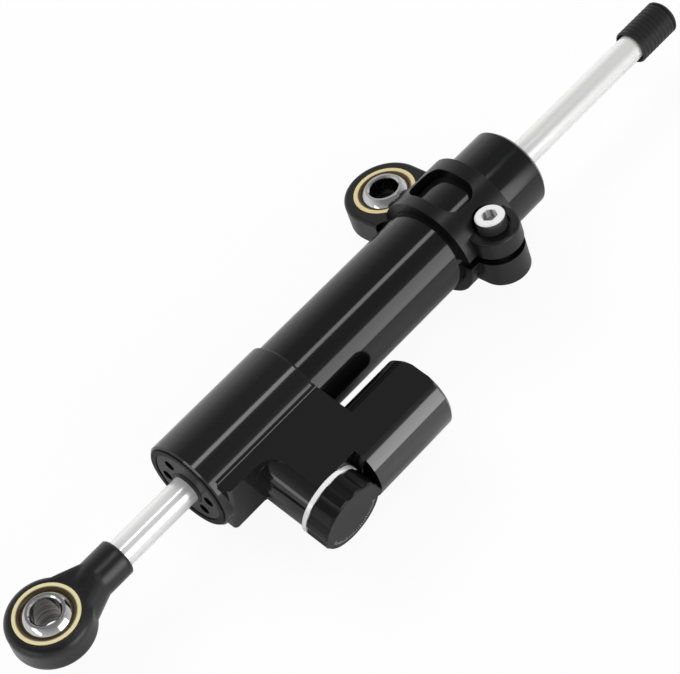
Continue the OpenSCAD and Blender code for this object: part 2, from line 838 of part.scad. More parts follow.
module collar_o_ring() color([0.08, 0.08, 0.08]) on_adjuster() {
    translate([0, 0, collar_s0 + collar_ring_at]) o_ring(collar_r + thread_gap, collar_ring_r);
}

module adjuster_spindle() color([0.6, 0.6, 0.62]) on_adjuster() {
    difference() {
        union() {
            translate([0, 0, spindle_s0]) cylinder(h = stem_end - spindle_s0, r = spindle_r);
            translate([0, 0, shoulder_s0]) cylinder(h = shoulder_thick, r = shoulder_r);
            intersection() {
                translate([-needle_r, -blade_thick / 2, spindle_s0 - blade_len])
                    cube([2 * needle_r, blade_thick, blade_len + seat_gap]);
                translate([0, 0, needle_s0]) cylinder(h = boss_reach, r = needle_r - pocket_gap);
            }
        }
        translate([0, 0, spindle_ring_s]) o_ring_groove(spindle_r + run_gap, spindle_ring_r);
    }
}

module spindle_o_ring() color([0.08, 0.08, 0.08]) on_adjuster() {
    translate([0, 0, spindle_ring_s]) o_ring(spindle_r + run_gap, spindle_ring_r);
}

module spindle_clip() color([0.3, 0.3, 0.32]) on_adjuster() {
    difference() {
        translate([0, 0, clip_s0 + seat_gap])
            cylinder(h = spindle_clip_thick - 2 * seat_gap, r = shoulder_r + spindle_clip_hold - pocket_gap);
        cylinder(h = knob_s1, r = spindle_r + spindle_clip_gap);
        translate([-spindle_clip_mouth / 2, 0, 0]) cube([spindle_clip_mouth, knob_d, knob_s1]);
    }
}

module needle() color([0.75, 0.76, 0.78]) on_adjuster() {
    difference() {
        union() {
            translate([0, 0, needle_s0]) cylinder(h = needle_len, r = needle_r);
            translate([0, 0, needle_s0 - tip_len]) cylinder(h = tip_len, r1 = tip_r, r2 = cone_r);
        }
        translate([-2 * needle_r, -blade_thick / 2 - pocket_gap, needle_s1 - slot_depth])
            cube([4 * needle_r, blade_thick + 2 * pocket_gap, 2 * slot_depth]);
    }
}

module adjuster_knob() color([0.07, 0.07, 0.075]) on_adjuster() {
    knob_r = knob_d / 2;
    track_top = detent_s + detent_r + detent_track;
    difference() {
        translate([0, 0, knob_s0]) rotate_extrude() polygon([
            [0, 0], [knob_r, 0], [knob_r, knob_thick - knob_chamfer], [knob_r - knob_chamfer, knob_thick],
            [0, knob_thick]
        ]);
        for (k = [1:knob_flutes])
            rotate([0, 0, 360 * k / knob_flutes])
                translate([knob_r + flute_r - flute_depth, 0, knob_s0 - over])
                    cylinder(h = knob_thick + 2 * over, r = flute_r);
        translate([0, 0, knob_s0 - over])
            cylinder(h = stem_end - knob_s0 + over + seat_gap, r = spindle_r + seat_gap);
        translate([0, 0, knob_s0 - over]) rotate_extrude()
            translate([detent_circle_r - detent_hole_r, 0])
                square([2 * detent_hole_r, track_top - knob_s0 + over]);
        for (k = [1:detent_count])
            rotate([0, 0, 360 * k / detent_count])
                translate([detent_circle_r, 0, detent_s + dimple_rise]) sphere(detent_r, $fn = 32);
        translate([0, -spindle_r, grub_s]) rotate([90, 0, 0])
            cylinder(h = knob_r, d = grub_d + seat_gap);
    }
}

module knob_grub_screw() color([0.3, 0.3, 0.32]) on_adjuster() {
    translate([0, -spindle_r - seat_gap, grub_s]) rotate([90, 0, 0])
        difference() {
            cylinder(h = grub_len, d = grub_d - seat_gap);
            translate([0, 0, grub_len - grub_d / 2]) cylinder(h = grub_d, d = grub_d / 2, $fn = 6);
        }
}

module detent_ball() color([0.8, 0.8, 0.82]) on_adjuster() {
    translate([detent_circle_r, 0, detent_s]) sphere(detent_r);
}

module detent_spring() color([0.5, 0.5, 0.52]) on_adjuster() {
    translate([detent_circle_r, 0, boss_reach - detent_depth + detent_wire])
        coil(detent_coil_r, detent_wire, detent_coil_len, detent_turns);
}

// Rounded rectangle of the clamp's window, centred
module window_outline() {
    square([window_len - 2 * window_round, window_w], center = true);
    square([window_len, window_w - 2 * window_round], center = true);
    for (sx = [-1, 1], sy = [-1, 1])
        translate([sx * (window_len / 2 - window_round), sy * (window_w / 2 - window_round)])
            circle(window_round);
}

// Half of an ear's outline, rounded at its outer edge
module ear_profile(r, height) {
    square([r - ear_round, height]);
    square([r, height - ear_round]);
    translate([r - ear_round, height - ear_round]) circle(ear_round, $fn = 32);
}

// One bolt ear, standing on the clamp's middle plane
module ear(d, height) {
    translate([bolt_x, -bolt_offset, 0]) rotate_extrude() ear_profile(d / 2, height);
    translate([bolt_x, 0, 0]) mirrored_bar(bolt_offset) ear_profile(d / 2, height);
}

// Lug between the band and the eye, scooped where it stands past the band
module lug() {
    difference() {
        translate([clamp_eye_x, clamp_eye_offset, 0])
            mirrored_bar(clamp_eye_offset) plate_profile(clamp_eye_r, eye_thick, clamp_eye_round);
        translate([lug_x0 - over, -over, -eye_thick])
            cube([lug_scoop + over, band_r - lug_scoop + over, 2 * eye_thick]);
        translate([lug_x0, band_r - lug_scoop, -eye_thick]) cylinder(h = 2 * eye_thick, r = lug_scoop);
    }
}

// Places children in the turned frame of the clamp
module on_clamp() {
    rotate([clamp_turn, 0, 0]) children();
}

// Places children on the axis of the clamp's eye
module on_clamp_eye() {
    on_clamp() translate([clamp_eye_x, clamp_eye_offset, 0]) children();
}

module clamp() color([0.05, 0.05, 0.055]) on_clamp() {
    difference() {
        union() {
            bar_x(band_x0, band_x0 + clamp_w, band_r);
            translate([clamp_eye_x, clamp_eye_offset, 0])
                rounded_disc(clamp_eye_r, eye_thick, clamp_eye_round);
            lug();
            ear(upper_ear_d, ear_top);
            mirror([0, 0, 1]) ear(lower_ear_d, ear_bottom);
        }
        bar_x(band_x - clamp_w, band_x + clamp_w, tube_r + run_gap);
        translate([band_x - clamp_w, -2 * bolt_offset, -slit / 2])
            cube([2 * clamp_w, 2 * bolt_offset, slit]);
        translate([clamp_eye_x, clamp_eye_offset, 0]) cylinder(h = eye_d, r = race_r, center = true);
        translate([bolt_x, -bolt_offset, 0]) {
            cylinder(h = 2 * ear_top, r = bolt_r + bolt_gap);
            translate([0, 0, seat_z]) cylinder(h = ear_top, r = head_r + counterbore_gap);
            translate([0, 0, -2 * ear_bottom]) cylinder(h = 2 * ear_bottom, r = bolt_r + thread_gap);
        }
        translate([band_x + window_shift_x, window_shift_y, tube_r / 2])
            linear_extrude(band_r) window_outline();
    }
}

module clamp_race() color([0.86, 0.8, 0.58]) on_clamp_eye() race();
module clamp_ball() color([0.8, 0.8, 0.82]) on_clamp_eye() bearing_ball();

module pinch_bolt() color([0.88, 0.88, 0.9]) on_clamp() {
    tip_z = bolt_end_inset - seat_z - ear_bottom;
    translate([bolt_x, -bolt_offset, seat_z])
        difference() {
            rotate_extrude() polygon([
                [0, tip_z], [bolt_r, tip_z], [bolt_r, 0], [head_r, 0],
                [head_r, head_h - head_chamfer], [head_r - head_chamfer, head_h], [0, head_h]
            ]);
            translate([0, 0, head_h - socket_depth]) cylinder(h = head_h, d = socket_af / cos(30), $fn = 6);
        }
}

valve_body();
outer_tube();
inner_tube();
tube_o_ring();
near_gland();
near_wiper();
near_rod_seal();
near_bush();
near_gland_o_ring();
far_gland();
far_wiper();
far_rod_seal();
far_bush();
far_gland_o_ring();
piston_rod();
piston();
piston_near_clip();
piston_far_clip();
piston_band();
piston_o_ring();
rod_end_housing();
rod_end_race();
rod_end_ball();
rod_stop();
floating_piston();
floating_piston_o_ring();
compensator_spring();
reservoir_cap();
reservoir_cap_o_ring();
reservoir_clip();
adjuster_collar();
collar_o_ring();
adjuster_knob();
knob_grub_screw();
adjuster_spindle();
spindle_o_ring();
spindle_clip();
needle();
detent_ball();
detent_spring();
clamp();
clamp_race();
clamp_ball();
pinch_bolt();
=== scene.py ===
"""Looks of an adjustable motorcycle steering damper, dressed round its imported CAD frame."""

import logging
import math
from dataclasses import dataclass, replace
from enum import Enum
from typing import Dict, List, Sequence, Tuple, Union

import bpy
from mathutils import Matrix, Vector


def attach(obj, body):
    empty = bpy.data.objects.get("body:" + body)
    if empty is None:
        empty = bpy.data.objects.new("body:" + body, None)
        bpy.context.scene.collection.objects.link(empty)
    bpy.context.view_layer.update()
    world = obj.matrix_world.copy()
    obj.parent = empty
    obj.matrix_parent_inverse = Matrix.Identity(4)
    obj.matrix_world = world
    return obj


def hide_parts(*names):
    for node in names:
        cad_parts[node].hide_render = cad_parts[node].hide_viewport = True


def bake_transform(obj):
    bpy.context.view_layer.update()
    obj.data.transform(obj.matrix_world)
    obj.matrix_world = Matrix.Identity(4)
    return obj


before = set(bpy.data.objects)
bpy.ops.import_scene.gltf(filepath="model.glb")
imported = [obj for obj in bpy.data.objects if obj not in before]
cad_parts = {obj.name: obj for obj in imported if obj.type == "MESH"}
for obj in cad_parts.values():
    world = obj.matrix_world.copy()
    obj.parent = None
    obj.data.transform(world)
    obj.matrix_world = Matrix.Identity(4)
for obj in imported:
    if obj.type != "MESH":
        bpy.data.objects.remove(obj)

LOG = logging.getLogger("steering_damper")
MM = 0.001
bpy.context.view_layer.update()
Colour = Tuple[float, float, float]
Point = Tuple[float, float, float]
ORIGIN: Point = (0.0, 0.0, 0.0)
ALONG_X: Point = (1.0, 0.0, 0.0)
AGAINST_X: Point = (-1.0, 0.0, 0.0)
Tree = bpy.types.NodeTree
Node = bpy.types.Node
Socket = bpy.types.NodeSocket
SocketValue = Union[Socket, float, Tuple[float, ...]]

# Noise of the grain and of the turning lines, and the part of the lines' height that makes a streak.
FINE_DETAIL = 3.0
SLOW_SCALE = 60.0
SLOW_DETAIL = 4.0
LINE_DETAIL = 2.0
STREAK_FROM, STREAK_TO = 0.4, 0.6
# Samples of an edge that is shaded round.
EDGE_SAMPLES = 6
# Watts of a lamp for each square metre and unit of radiance.
LAMP_WATTS = 4.0
# Corners of a box's faces, its lower ring of corners first.
BOX_FACES = ((0, 1, 2, 3), (7, 6, 5, 4), (0, 4, 5, 1), (1, 5, 6, 2), (2, 6, 7, 3), (3, 7, 4, 0))


class Effect(Enum):
    """Shared surface effects, each built once as a shader node group."""

    GRAIN = "fx_grain"
    AXIS = "fx_axis"
    TURNED = "fx_turned_lines"
    BORE = "fx_bore_shade"


@dataclass(frozen=True)
class SheenZone:
    """A round zone of a surface with a specular level of its own.

    Attributes:
        edge: Point of the zone's axis at which it ends, in metres.
        leaving: Direction in which the axis leaves the zone there.
        radius_mm: Radius of the zone.
        fade_mm: Width over which it fades out.
        specular: Specular level in the zone.
    """

    edge: Point
    leaving: Point
    radius_mm: float
    fade_mm: float
    specular: float


@dataclass(frozen=True)
class Finish:
    """One surface finish.

    Attributes:
        name: Name of the material.
        colour: Linear base colour.
        metallic: Share of metal.
        roughness: Middle roughness.
        specular: Specular level of the bare surface.
        spread: Change of the roughness over the grain.
        grain: Bump distance of the grain in millimetres.
        grain_scale: Grains per metre.
        turned: Bump distance of the turning lines in millimetres.
        pitch: Turning lines per metre.
        centre: Point of the piece's axis, in metres.
        axis: Direction of the piece's axis.
        bore_mm: Radius round the axis inside which the colour is painted shade, or 0 for none.
        bore_shade_colour: Linear base colour inside that radius, a painted shade.
        rim_mm: Radius round the axis beyond which the colour changes, or 0 for none.
        rim_colour: Linear base colour beyond that radius.
        streak: How much darker the lines in the bore are, from 0 to 1.
        fade_mm: Width over which these colours change.
        round_mm: Radius to which sharp edges are shaded round.
        zones: Zones with a specular level of their own.
    """

    name: str
    colour: Colour
    metallic: float = 0.0
    roughness: float = 0.3
    specular: float = 0.5
    spread: float = 0.04
    grain: float = 0.0
    grain_scale: float = 2500.0
    turned: float = 0.0
    pitch: float = 4000.0
    centre: Point = ORIGIN
    axis: Point = ALONG_X
    bore_mm: float = 0.0
    bore_shade_colour: Colour = (0.02, 0.02, 0.022)
    rim_mm: float = 0.0
    rim_colour: Colour = (0.02, 0.02, 0.022)
    streak: float = 0.0
    fade_mm: float = 0.25
    round_mm: float = 0.2
    zones: Tuple[SheenZone, ...] = ()


class EffectGroups:
    """Builds the shader node groups that several finishes share."""

    def __init__(self) -> None:
        """Builds every group."""
        self.groups: Dict[Effect, Tree] = {
            Effect.GRAIN: self._grain(),
            Effect.AXIS: self._axis(),
            Effect.TURNED: self._turned(),
            Effect.BORE: self._bore(),
        }

    @staticmethod
    def _new(effect: Effect, inputs: Dict[str, SocketValue], outputs: Sequence[str]) -> Tree:
        """Makes an empty group.

        Args:
            effect: Effect that the group stands for.
            inputs: Names and default values of the inputs, numbers or vectors.
            outputs: Names of the float outputs.

        Returns:
            The new node tree, with nodes called in and out.
        """
        tree = bpy.data.node_groups.new(effect.value, "ShaderNodeTree")
        for name, value in inputs.items():
            kind = "NodeSocketVector" if isinstance(value, tuple) else "NodeSocketFloat"
            socket = tree.interface.new_socket(name, in_out="INPUT", socket_type=kind)
            socket.default_value = value
        for name in outputs:
            tree.interface.new_socket(name, in_out="OUTPUT", socket_type="NodeSocketFloat")
        tree.nodes.new("NodeGroupInput").name = "in"
        tree.nodes.new("NodeGroupOutput").name = "out"
        return tree

    @staticmethod
    def feed(tree: Tree, socket: Socket, value: SocketValue) -> None:
        """Links a socket to an input, or sets the input's value.

        Args:
            tree: Tree that holds the input.
            socket: The input.
            value: A socket, a number or a vector.
        """
        if isinstance(value, Socket):
            tree.links.new(value, socket)
        else:
            socket.default_value = value

    def _math(self, tree: Tree, kind: str, a: SocketValue, b: SocketValue) -> Socket:
        """Adds a math node.

        Args:
            tree: Tree that gets the node.
            kind: Operation.
            a: First value.
            b: Second value.

        Returns:
            The node's output.
        """
        node = tree.nodes.new("ShaderNodeMath")
        node.operation = kind
        self.feed(tree, node.inputs[0], a)
        self.feed(tree, node.inputs[1], b)
        return node.outputs[0]

    def _vector(self, tree: Tree, kind: str, a: SocketValue, b: SocketValue) -> Node:
        """Adds a vector math node.

        Args:
            tree: Tree that gets the node.
            kind: Operation.
            a: First vector.
            b: Second vector, or the factor of a SCALE.

        Returns:
            The node.
        """
        node = tree.nodes.new("ShaderNodeVectorMath")
        node.operation = kind
        self.feed(tree, node.inputs[0], a)
        self.feed(tree, node.inputs["Scale"] if kind == "SCALE" else node.inputs[1], b)
        return node

    def _grain(self) -> Tree:
        """Returns fine grain without a direction, as a height and as a slow variation."""
        tree = self._new(Effect.GRAIN, {"Vector": ORIGIN, "Scale": 2500.0}, ("Height", "Variation"))
        source, sink = tree.nodes["in"], tree.nodes["out"]
        fine = tree.nodes.new("ShaderNodeTexNoise")
        fine.inputs["Detail"].default_value = FINE_DETAIL
        tree.links.new(source.outputs["Vector"], fine.inputs["Vector"])
        tree.links.new(source.outputs["Scale"], fine.inputs["Scale"])
        slow = tree.nodes.new("ShaderNodeTexNoise")
        slow.inputs["Scale"].default_value = SLOW_SCALE
        slow.inputs["Detail"].default_value = SLOW_DETAIL
        tree.links.new(source.outputs["Vector"], slow.inputs["Vector"])
        tree.links.new(fine.outputs["Fac"], sink.inputs["Height"])
        total = self._math(tree, "ADD", fine.outputs["Fac"], slow.outputs["Fac"])
        tree.links.new(self._math(tree, "MULTIPLY", total, 0.5), sink.inputs["Variation"])
        return tree

    def _axis(self) -> Tree:
        """Returns the distance along an axis and the distance from it."""
        inputs = {"Vector": ORIGIN, "Centre": ORIGIN, "Direction": ALONG_X}
        tree = self._new(Effect.AXIS, inputs, ("Along", "Radial"))
        source, sink = tree.nodes["in"], tree.nodes["out"]
        point, centre, direction = (source.outputs[name] for name in inputs)
        offset = self._vector(tree, "SUBTRACT", point, centre).outputs[0]
        along = self._vector(tree, "DOT_PRODUCT", offset, direction).outputs["Value"]
        foot = self._vector(tree, "SCALE", direction, along).outputs[0]
        radial = self._vector(tree, "DISTANCE", offset, foot).outputs["Value"]
        tree.links.new(along, sink.inputs["Along"])
        tree.links.new(radial, sink.inputs["Radial"])
        return tree

    def _turned(self) -> Tree:
        """Returns the fine lines that a lathe leaves, along its axis and out from it."""
        tree = self._new(Effect.TURNED, {"Along": 0.0, "Radial": 0.0, "Pitch": 4000.0}, ("Height",))
        source, sink = tree.nodes["in"], tree.nodes["out"]
        travel = self._math(tree, "ADD", source.outputs["Along"], source.outputs["Radial"])
        noise = tree.nodes.new("ShaderNodeTexNoise")
        noise.noise_dimensions = "1D"
        noise.inputs["Scale"].default_value = 1.0
        noise.inputs["Detail"].default_value = LINE_DETAIL
        place = self._math(tree, "MULTIPLY", travel, source.outputs["Pitch"])
        tree.links.new(place, noise.inputs["W"])
        tree.links.new(noise.outputs["Fac"], sink.inputs["Height"])
        return tree

    def _bore(self) -> Tree:
        """Returns a mask that is 1 inside a radius and fades over its rim."""
        tree = self._new(Effect.BORE, {"Radial": 0.0, "Radius": 0.004, "Rim": 0.00025}, ("Mask",))
        source, sink = tree.nodes["in"], tree.nodes["out"]
        fade = tree.nodes.new("ShaderNodeMapRange")
        fade.interpolation_type = "SMOOTHSTEP"
        fade.inputs["To Min"].default_value = 1.0
        fade.inputs["To Max"].default_value = 0.0
        tree.links.new(source.outputs["Radial"], fade.inputs["Value"])
        tree.links.new(source.outputs["Radius"], fade.inputs["From Min"])
        edge = self._math(tree, "ADD", source.outputs["Radius"], source.outputs["Rim"])
        tree.links.new(edge, fade.inputs["From Max"])
        tree.links.new(fade.outputs["Result"], sink.inputs["Mask"])
        return tree


class FinishLibrary:
    """Turns finishes into materials, each made once."""

    def __init__(self, effects: EffectGroups) -> None:
        """Keeps the shared groups.

        Args:
            effects: Groups that the materials use.
        """
        self.effects = effects
        self.made: Dict[str, bpy.types.Material] = {}

    def get(self, finish: Finish) -> bpy.types.Material:
        """Returns the material of a finish, building it the first time.

        Args:
            finish: Finish to look up.

        Returns:
            Its material.
        """
        if finish.name not in self.made:
            self.made[finish.name] = self._build(finish)
        return self.made[finish.name]

    def _place(self, tree: Tree, effect: Effect, **values: SocketValue) -> Node:
        """Adds a shared group to a material.

        Args:
            tree: The material's tree.
            effect: Group to add.
            **values: Sockets to link, or values to set, for its inputs.

        Returns:
            The group node.
        """
        node = tree.nodes.new("ShaderNodeGroup")
        node.node_tree = self.effects.groups[effect]
        for name, value in values.items():
            EffectGroups.feed(tree, node.inputs[name], value)
        return node

    def _lines(self, tree: Tree, axis: Node, finish: Finish) -> Socket:
        """Adds the turning lines round a piece's axis to a material.

        Args:
            tree: The material's tree.
            axis: The axis group's node.
            finish: Finish with the lines' pitch.

        Returns:
            The lines' height.
        """
        along, radial = axis.outputs["Along"], axis.outputs["Radial"]
        node = self._place(tree, Effect.TURNED, Along=along, Radial=radial, Pitch=finish.pitch)
        return node.outputs["Height"]

    def _within(self, tree: Tree, distance: Socket, reach_mm: float, fade_mm: float) -> Socket:
        """Adds a mask of the places within a distance to a material.

        Args:
            tree: The material's tree.
            distance: The distance, in metres.
            reach_mm: Distance up to which the mask is 1.
            fade_mm: Width over which it falls to 0.

        Returns:
            The mask.
        """
        node = self._place(
            tree, Effect.BORE, Radial=distance, Radius=reach_mm * MM, Rim=fade_mm * MM
        )
        return node.outputs["Mask"]

    @staticmethod
    def _mix(tree: Tree, share: Socket, far: SocketValue, near: SocketValue) -> Socket:
        """Adds a mix of two colours to a material.

        Args:
            tree: The material's tree.
            share: Share of the second colour.
            far: First colour.
            near: Second colour.

        Returns:
            The mixed colour.
        """
        mix = tree.nodes.new("ShaderNodeMix")
        mix.data_type = "RGBA"
        tree.links.new(share, mix.inputs[0])
        colours = (socket for socket in mix.inputs if socket.type == "RGBA")
        for socket, value in zip(colours, (far, near)):
            EffectGroups.feed(tree, socket, value)
        return next(socket for socket in mix.outputs if socket.type == "RGBA")

    def _build(self, finish: Finish) -> bpy.types.Material:
        """Builds the material of a finish.

        Args:
            finish: Finish to build.

        Returns:
            The new material.
        """
        material = bpy.data.materials.new(finish.name)
        material.use_nodes = True
        tree = material.node_tree
        shader = tree.nodes["Principled BSDF"]
        shader.inputs["Base Color"].default_value = (*finish.colour, 1.0)
        shader.inputs["Metallic"].default_value = finish.metallic
        shader.inputs["Roughness"].default_value = finish.roughness
        coords = tree.nodes.new("ShaderNodeTexCoord").outputs["Object"]
        grain = self._place(tree, Effect.GRAIN, Vector=coords, Scale=finish.grain_scale)
        axis = self._place(
            tree, Effect.AXIS, Vector=coords, Centre=finish.centre, Direction=finish.axis
        )
        if finish.spread > 0:
            spread = tree.nodes.new("ShaderNodeMapRange")
            spread.inputs["To Min"].default_value = max(0.0, finish.roughness - finish.spread)
            spread.inputs["To Max"].default_value = min(1.0, finish.roughness + finish.spread)
            tree.links.new(grain.outputs["Variation"], spread.inputs["Value"])
            tree.links.new(spread.outputs["Result"], shader.inputs["Roughness"])
        self._zones(tree, shader, coords, finish)
        self._colour(tree, shader, axis, finish)
        self._normal(tree, shader, grain, axis, finish)
        return material

    def _zones(self, tree: Tree, shader: Node, coords: Socket, finish: Finish) -> None:
        """Sets the specular level, with the levels of the finish's zones.

        Args:
            tree: The material's tree.
            shader: Principled shader.
            coords: The piece's own coordinates.
            finish: Finish with the levels.
        """
        level: SocketValue = finish.specular
        for zone in finish.zones:
            place = self._place(
                tree, Effect.AXIS, Vector=coords, Centre=zone.edge, Direction=zone.leaving
            )
            near = self._within(tree, place.outputs["Radial"], zone.radius_mm, zone.fade_mm)
            before = self._within(tree, place.outputs["Along"], 0.0, zone.fade_mm)
            inside = tree.nodes.new("ShaderNodeMath")
            inside.operation = "MULTIPLY"
            tree.links.new(near, inside.inputs[0])
            tree.links.new(before, inside.inputs[1])
            step = tree.nodes.new("ShaderNodeMapRange")
            EffectGroups.feed(tree, step.inputs["To Min"], level)
            step.inputs["To Max"].default_value = zone.specular
            tree.links.new(inside.outputs[0], step.inputs["Value"])
            level = step.outputs["Result"]
        EffectGroups.feed(tree, shader.inputs["Specular IOR Level"], level)

    def _streaks(self, tree: Tree, axis: Node, finish: Finish) -> SocketValue:
        """Returns the bore's painted shade, with the darker lines that its tool left.

        Args:
            tree: The material's tree.
            axis: The axis group's node.
            finish: Finish with the bore's colour and streaks.

        Returns:
            A colour or the socket of one.
        """
        plain = (*finish.bore_shade_colour, 1.0)
        if finish.streak == 0:
            return plain
        share = tree.nodes.new("ShaderNodeMapRange")
        share.inputs["From Min"].default_value = STREAK_FROM
        share.inputs["From Max"].default_value = STREAK_TO
        tree.links.new(self._lines(tree, axis, finish), share.inputs["Value"])
        dark = (*((1.0 - finish.streak) * part for part in finish.bore_shade_colour), 1.0)
        return self._mix(tree, share.outputs["Result"], plain, dark)

    def _colour(self, tree: Tree, shader: Node, axis: Node, finish: Finish) -> None:
        """Sets the base colour, with the colours near and far from the piece's axis.

        Args:
            tree: The material's tree.
            shader: Principled shader.
            axis: The axis group's node.
            finish: Finish with the radii and colours.
        """
        plain = (*finish.colour, 1.0)
        # Inside the bore radius the colour is painted shade; beyond the rim radius comes a darker
        # outer colour, which on the bolt head is painted shade.
        bands = [
            (finish.rim_mm, (*finish.rim_colour, 1.0), plain),
            (finish.bore_mm, None, self._streaks(tree, axis, finish)),
        ]
        result: SocketValue = plain
        for radius, outer, inner in bands:
            if radius == 0:
                continue
            mask = self._within(tree, axis.outputs["Radial"], radius, finish.fade_mm)
            result = self._mix(tree, mask, outer or result, inner)
        EffectGroups.feed(tree, shader.inputs["Base Color"], result)

    def _normal(self, tree: Tree, shader: Node, grain: Node, axis: Node, finish: Finish) -> None:
        """Rounds sharp edges and adds the grain and turning lines as bumps.

        Args:
            tree: The material's tree.
            shader: Principled shader.
            grain: The grain group's node.
            axis: The axis group's node.
            finish: Finish with the bump distances.
        """
        rounded = tree.nodes.new("ShaderNodeBevel")
        rounded.samples = EDGE_SAMPLES
        rounded.inputs["Radius"].default_value = finish.round_mm * MM
        normal = rounded.outputs["Normal"]
        heights: List[Tuple[Socket, float]] = []
        if finish.grain > 0:
            heights.append((grain.outputs["Height"], finish.grain))
        if finish.turned > 0:
            heights.append((self._lines(tree, axis, finish), finish.turned))
        for height, distance in heights:
            bump = tree.nodes.new("ShaderNodeBump")
            bump.inputs["Distance"].default_value = distance * MM
            bump.inputs["Strength"].default_value = 1.0
            tree.links.new(height, bump.inputs["Height"])
            tree.links.new(normal, bump.inputs["Normal"])
            normal = bump.outputs["Normal"]
        tree.links.new(normal, shader.inputs["Normal"])


# Places and axes of the part, in metres.
ROD_END_AXIS: Point = (0.0, 0.139173, 0.990268)
CLAMP_EYE: Point = (0.1521, 0.021421, -0.006549)
CLAMP_EYE_AXIS: Point = (0.0, 0.292372, 0.956305)
PINCH_BOLT: Point = (0.1548, -0.015301, 0.004678)
RESERVOIR_SIDE: Point = (0.0803, -0.0362, 0.002)
BARREL_END: Point = (0.0492, 0.0, 0.0)
KNOB_AT: Point = (0.0698, 0.0, 0.0)
KNOB_AXIS: Point = (0.0, -1.0, 0.0)

ANODISED = Finish(
    "black_anodised",
    (0.005, 0.005, 0.0052),
    roughness=0.1,
    specular=0.45,
    spread=0.02,
    grain=0.0002,
)
ANODISED_BODY = replace(
    ANODISED,
    name="black_anodised_body",
    specular=0.6,
    round_mm=0.05,
    zones=(
        SheenZone(RESERVOIR_SIDE, AGAINST_X, radius_mm=7.8, fade_mm=1.0, specular=1.0),
        SheenZone(BARREL_END, ALONG_X, radius_mm=14.0, fade_mm=0.4, specular=0.02),
    ),
)
ANODISED_CLAMP = Finish(
    "black_anodised_blasted", (0.004, 0.004, 0.0042), roughness=0.32, specular=0.4, grain=0.0015
)
ANODISED_GLAND = replace(ANODISED, name="black_anodised_gland", specular=0.08, roughness=0.16)
KNOB = Finish(
    "black_anodised_knob",
    (0.008, 0.008, 0.0082),
    roughness=0.34,
    specular=0.25,
    grain=0.0006,
    centre=KNOB_AT,
    axis=KNOB_AXIS,
    rim_mm=9.0,
    rim_colour=(0.004, 0.004, 0.0042),
)
BLACK_STEEL = Finish(
    "black_steel", (0.006, 0.006, 0.0065), roughness=0.28, grain=0.001, round_mm=2.0
)
CHROMED = Finish(
    "chromed_steel",
    (0.94, 0.94, 0.935),
    metallic=0.42,
    roughness=0.18,
    spread=0.03,
    turned=0.0004,
)
BALL_STEEL = Finish(
    "bearing_steel", (0.6, 0.6, 0.6), metallic=1.0, roughness=0.1, spread=0.03, grain=0.0005
)
# The ball's bore is painted a darker grey: painted shade in the deep hole, with darker tool lines.
ROD_END_BALL = replace(
    BALL_STEEL,
    name="bearing_steel_rod_end",
    axis=ROD_END_AXIS,
    bore_mm=4.0,
    bore_shade_colour=(0.2, 0.195, 0.19),
    streak=0.6,
    pitch=1300.0,
)
CLAMP_BALL = replace(
    ROD_END_BALL, name="bearing_steel_clamp", centre=CLAMP_EYE, axis=CLAMP_EYE_AXIS
)
# Inside the bore radius the race's inner cone is painted dark brown: painted shade between the race
# and the ball.
BRASS = Finish(
    "race_brass",
    (0.9, 0.81, 0.47),
    metallic=0.25,
    roughness=0.22,
    spread=0.05,
    turned=0.0006,
    bore_mm=7.6,
    bore_shade_colour=(0.09, 0.065, 0.03),
    fade_mm=0.5,
)
ROD_END_RACE = replace(BRASS, name="race_brass_rod_end", axis=ROD_END_AXIS)
CLAMP_RACE = replace(
    BRASS,
    name="race_brass_clamp",
    colour=(0.85, 0.7, 0.37),
    centre=CLAMP_EYE,
    axis=CLAMP_EYE_AXIS,
    bore_mm=7.4,
)
# The hex socket is painted grey and the head's side near black: painted shade in the socket and in
# the counterbore round the head.
PLATED = Finish(
    "plated_steel",
    (0.97, 0.97, 0.97),
    metallic=0.25,
    roughness=0.15,
    spread=0.03,
    grain=0.0006,
    centre=PINCH_BOLT,
    axis=CLAMP_EYE_AXIS,
    bore_mm=2.0,
    bore_shade_colour=(0.3, 0.3, 0.3),
    rim_mm=4.1,
    rim_colour=(0.05, 0.05, 0.05),
    fade_mm=0.1,
)
ALUMINIUM = Finish("bare_aluminium", (0.87, 0.87, 0.88), metallic=0.5, roughness=0.28, turned=0.001)
COLLAR = Finish(
    "bright_aluminium",
    (0.97, 0.97, 0.97),
    metallic=0.12,
    roughness=0.22,
    turned=0.0005,
    centre=KNOB_AT,
    axis=KNOB_AXIS,
)
SPRING_STEEL = Finish("spring_steel", (0.2, 0.2, 0.21), metallic=0.9, roughness=0.35)
BRONZE = Finish("bearing_bronze", (0.5, 0.33, 0.14), metallic=0.8, roughness=0.45, grain=0.003)
RUBBER = Finish(
    "stop_rubber",
    (0.008, 0.008, 0.008),
    roughness=0.45,
    specular=0.4,
    grain=0.003,
    grain_scale=1500.0,
)
SEAL = Finish("seal_rubber", (0.012, 0.012, 0.012), roughness=0.42, specular=0.4, grain=0.002)
PTFE = Finish("ptfe", (0.8, 0.8, 0.76), roughness=0.5)
TICK_PAINT = Finish("tick_paint", (0.4, 0.4, 0.4), roughness=0.6, specular=0.2)


@dataclass
class Mesher:
    """Makes mesh pieces in the row frame."""

    finishes: FinishLibrary

    def piece(
        self, name: str, points: Sequence[Point], faces: Sequence[Sequence[int]], finish: Finish
    ) -> bpy.types.Object:
        """Makes one mesh object.

        Args:
            name: Name of the piece.
            points: Corners in metres.
            faces: Corner numbers of each face.
            finish: Finish of the piece.

        Returns:
            The new object.
        """
        mesh = bpy.data.meshes.new(name)
        mesh.from_pydata([tuple(p) for p in points], [], [list(f) for f in faces])
        mesh.materials.append(self.finishes.get(finish))
        mesh.update()
        obj = bpy.data.objects.new(name, mesh)
        bpy.context.scene.collection.objects.link(obj)
        LOG.info("made %s: %d faces", name, len(faces))
        return obj


